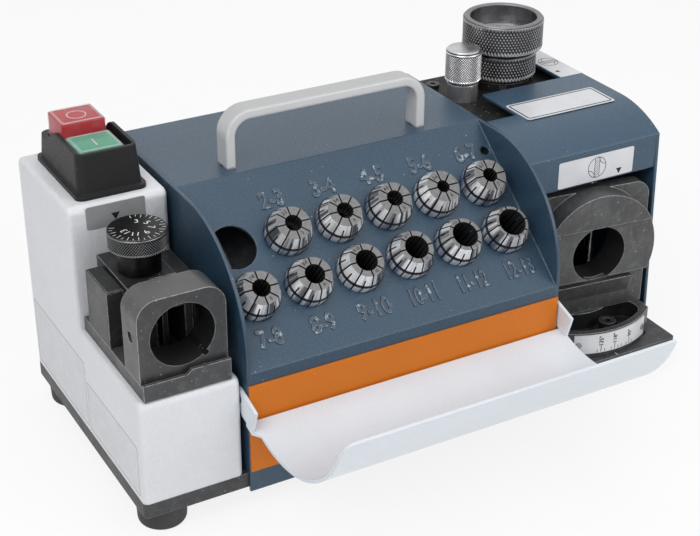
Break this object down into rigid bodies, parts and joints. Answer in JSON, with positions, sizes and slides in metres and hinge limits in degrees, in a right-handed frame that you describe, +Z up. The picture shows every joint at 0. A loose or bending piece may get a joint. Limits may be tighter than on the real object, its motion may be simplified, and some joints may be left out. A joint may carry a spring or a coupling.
{
  "type": "drill bit grinder",
  "caption": "Bench drill bit grinder: collet rack under a hinged lid, setting fixture, swivelling lip port, web port with chuck, push-button switch and carrying handle.",
  "frame": {"origin": "middle of the overall box in plan, at the underside of the feet", "axes": "+X along the machine to the right as seen from the front, +Y to the rear, +Z up"},
  "size_m": [0.283, 0.2198, 0.1535],
  "materials": {
    "base_black": "satin black paint",
    "rubber": "moulded",
    "white_paint": "fine textured powder coat",
    "blue_paint": "fine textured powder coat",
    "orange": "smooth paint",
    "black_steel": "blackened steel",
    "screw_steel": "zinc plated",
    "dark_screw": "blackened",
    "switch_black": "moulded",
    "red": "moulded",
    "green": "moulded",
    "handle_metal": "satin silver",
    "collet_steel": "ground steel",
    "chuck_steel": "dull knurled steel",
    "knob_steel": "bright knurled steel",
    "bright_steel": "polished",
    "scale_white": "white enamel",
    "motor_iron": "laminated",
    "motor_alloy": "die cast",
    "wheel_grit": "fine abrasive grit",
    "gland_black": "moulded",
    "capacitor_grey": "moulded"
  },
  "bodies": {
    "frame": {"base_plate": "base_black", "rubber_feet": "rubber", "foot_screws": "screw_steel", "left_housing": "white_paint", "fixture_base": "black_steel", "bored_block": "black_steel", "set_screw": "dark_screw", "guide_bars": "black_steel", "jaw_carrier": "black_steel", "fixed_jaw": "bright_steel", "switch_frame": "switch_black", "switch_body": "switch_black", "rack_cover": "blue_paint", "front_band": "orange", "rear_panel": "blue_paint", "cover_screws": "dark_screw", "carry_handle": "handle_metal", "handle_screws": "screw_steel", "lid_pins": "screw_steel", "wheel_guard": "blue_paint", "port_deck": "black_steel", "deck_posts": "bright_steel", "deck_screws": "dark_screw", "port_sleeve": "black_steel", "knob_bush": "bright_steel", "clamp_screw": "dark_screw", "swivel_pin": "bright_steel", "motor_stator": "motor_iron", "motor_bells": "motor_alloy", "motor_bearings": "bright_steel", "motor_cradle": "base_black", "cable_gland": "gland_black", "capacitor": "capacitor_grey"},
    "lid": {"front_lid": "white_paint"},
    "stop": {"stop_button": "red"},
    "start": {"start_button": "green"},
    "dial": {"web_dial": "black_steel"},
    "jaw": {"moving_jaw": "bright_steel"},
    "swivel": {"swivel_base": "black_steel", "lip_port": "black_steel", "angle_scale": "scale_white", "scale_rivets": "bright_steel"},
    "knob": {"depth_knob": "knob_steel"},
    "chuck": {"chuck_body": "chuck_steel"},
    "chuck_ring": {"chuck_sleeve": "chuck_steel"},
    "spindle": {"motor_shaft": "bright_steel", "grinding_wheel": "wheel_grit", "wheel_flanges": "bright_steel", "wheel_nut": "screw_steel"},
    "collet_2_3": {"collet_2_3": "collet_steel"},
    "collet_3_4": {"collet_3_4": "collet_steel"},
    "collet_4_5": {"collet_4_5": "collet_steel"},
    "collet_5_6": {"collet_5_6": "collet_steel"},
    "collet_6_7": {"collet_6_7": "collet_steel"},
    "collet_7_8": {"collet_7_8": "collet_steel"},
    "collet_8_9": {"collet_8_9": "collet_steel"},
    "collet_9_10": {"collet_9_10": "collet_steel"},
    "collet_10_11": {"collet_10_11": "collet_steel"},
    "collet_11_12": {"collet_11_12": "collet_steel"},
    "collet_12_13": {"collet_12_13": "collet_steel"}
  },
  "joints": [
    {"name": "lid_hinge", "type": "hinge", "parent": "frame", "child": "lid", "pos_m": [-0.01605, -0.02732, 0.055], "axis": [1, 0, 0], "range_deg": [-107, 0]},
    {"name": "stop_press", "type": "slide", "parent": "frame", "child": "stop", "axis": [0, 0, -1], "range_m": [0, 0.003], "stiffness_N_per_m": 600, "springref_m": -0.001},
    {"name": "start_press", "type": "slide", "parent": "frame", "child": "start", "axis": [0, 0, -1], "range_m": [0, 0.003], "stiffness_N_per_m": 600, "springref_m": -0.001},
    {"name": "dial_turn", "type": "hinge", "parent": "frame", "child": "dial", "pos_m": [-0.11895, 0.01608, 0.101], "axis": [0, 0, 1], "range_deg": [0, 300]},
    {"name": "jaw_slide", "type": "slide", "parent": "frame", "child": "jaw", "axis": [1, 0, 0], "range_m": [0, 0.004]},
    {"name": "swivel_turn", "type": "hinge", "parent": "frame", "child": "swivel", "pos_m": [0.10255, 0.01538, 0.0183], "axis": [0, 0, 1], "range_deg": [-14, 11]},
    {"name": "knob_turn", "type": "hinge", "parent": "frame", "child": "knob", "pos_m": [0.07595, 0.07288, 0.1273], "axis": [0, 0, 1], "range_deg": [-360, 360]},
    {"name": "chuck_lift", "type": "slide", "parent": "frame", "child": "chuck", "axis": [0, 0, 1], "range_m": [0, 0.04]},
    {"name": "chuck_ring_turn", "type": "hinge", "parent": "chuck", "child": "chuck_ring", "pos_m": [0.10505, 0.08238, 0.1374], "axis": [0, 0, 1], "range_deg": [-180, 180]},
    {"name": "wheel_spin", "type": "hinge", "parent": "frame", "child": "spindle", "pos_m": [0.10255, 0.05338, 0.0637], "axis": [1, 0, 0], "continuous": true},
    {"name": "collet_2_3_lift", "type": "slide", "parent": "frame", "child": "collet_2_3", "axis": [0, -0.6313, 0.7756], "range_m": [0, 0.036]},
    {"name": "collet_3_4_lift", "type": "slide", "parent": "frame", "child": "collet_3_4", "axis": [0, -0.6313, 0.7756], "range_m": [0, 0.036]},
    {"name": "collet_4_5_lift", "type": "slide", "parent": "frame", "child": "collet_4_5", "axis": [0, -0.6313, 0.7756], "range_m": [0, 0.036]},
    {"name": "collet_5_6_lift", "type": "slide", "parent": "frame", "child": "collet_5_6", "axis": [0, -0.6313, 0.7756], "range_m": [0, 0.036]},
    {"name": "collet_6_7_lift", "type": "slide", "parent": "frame", "child": "collet_6_7", "axis": [0, -0.6313, 0.7756], "range_m": [0, 0.036]},
    {"name": "collet_7_8_lift", "type": "slide", "parent": "frame", "child": "collet_7_8", "axis": [0, -0.6313, 0.7756], "range_m": [0, 0.036]},
    {"name": "collet_8_9_lift", "type": "slide", "parent": "frame", "child": "collet_8_9", "axis": [0, -0.6313, 0.7756], "range_m": [0, 0.036]},
    {"name": "collet_9_10_lift", "type": "slide", "parent": "frame", "child": "collet_9_10", "axis": [0, -0.6313, 0.7756], "range_m": [0, 0.036]},
    {"name": "collet_10_11_lift", "type": "slide", "parent": "frame", "child": "collet_10_11", "axis": [0, -0.6313, 0.7756], "range_m": [0, 0.036]},
    {"name": "collet_11_12_lift", "type": "slide", "parent": "frame", "child": "collet_11_12", "axis": [0, -0.6313, 0.7756], "range_m": [0, 0.036]},
    {"name": "collet_12_13_lift", "type": "slide", "parent": "frame", "child": "collet_12_13", "axis": [0, -0.6313, 0.7756], "range_m": [0, 0.036]}
  ],
  "couplings": [
    {"joint": "jaw_slide", "follows": "dial_turn", "m_per_rad": 0.00076318}
  ]
}
